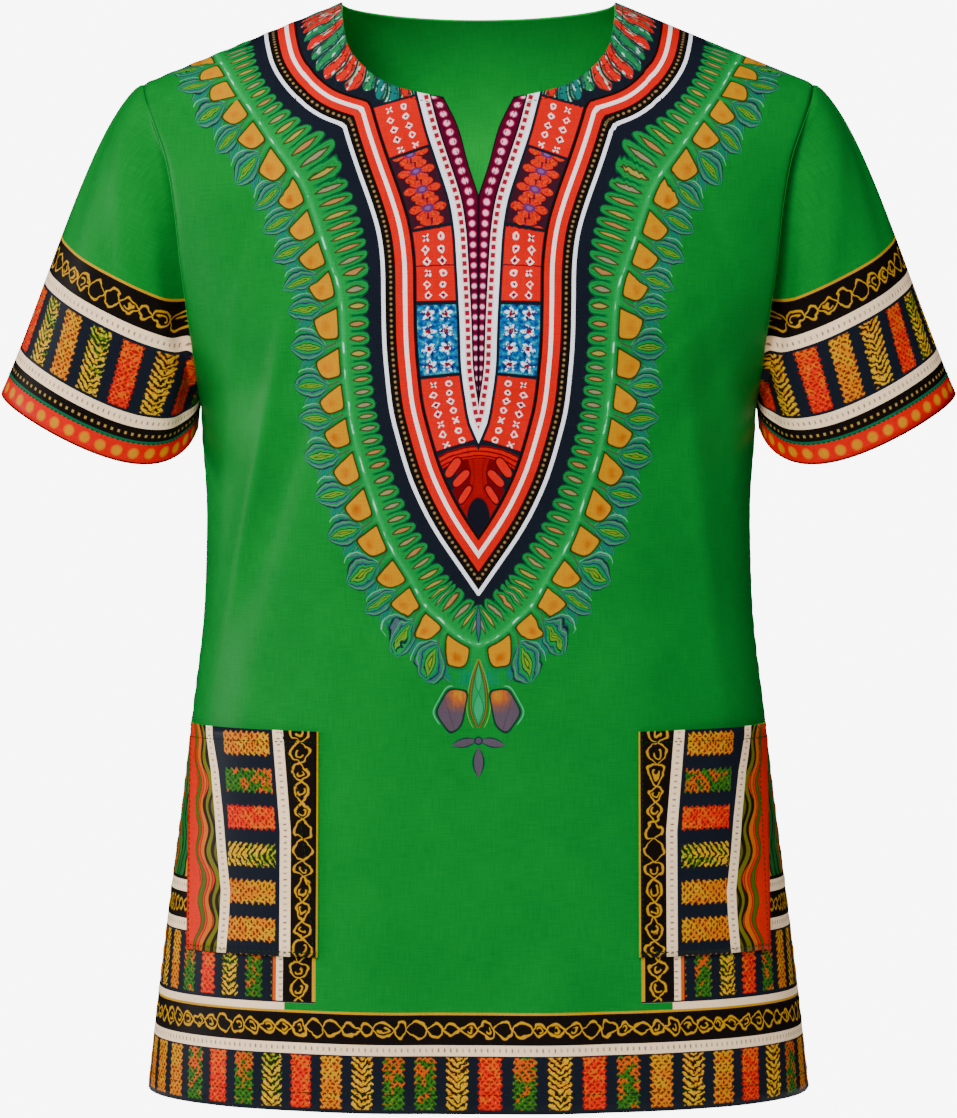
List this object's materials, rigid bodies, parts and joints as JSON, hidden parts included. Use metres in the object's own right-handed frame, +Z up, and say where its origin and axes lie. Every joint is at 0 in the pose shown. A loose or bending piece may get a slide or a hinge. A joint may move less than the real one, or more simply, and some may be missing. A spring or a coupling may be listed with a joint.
{
  "type": "dashiki shirt",
  "caption": "Short-sleeved printed cotton dashiki shirt, hollow as if worn, with a notched round neck and patch pockets.",
  "frame": {"origin": "midway between the shoulders, at the height where the wearer's shoulders carry the cloth, 20 mm below the neck point", "axes": "+Z up, the front faces -Y, +X towards the wearer's left sleeve"},
  "size_m": [0.637, 0.2724, 0.7212],
  "materials": {
    "front_cotton": "printed plain-weave cotton, matt, bright green ground",
    "back_cotton": "printed plain-weave cotton, matt, bright green ground",
    "sleeve_cotton": "printed plain-weave cotton, green with black, cream, gold and orange bands at the cuff",
    "pocket_cotton": "printed plain-weave cotton, black, cream, gold and orange bands"
  },
  "bodies": {
    "root": {"front": "front_cotton", "back": "back_cotton", "sleeve_left": "sleeve_cotton", "sleeve_right": "sleeve_cotton", "pocket_left": "pocket_cotton", "pocket_right": "pocket_cotton"}
  },
  "joints": []
}
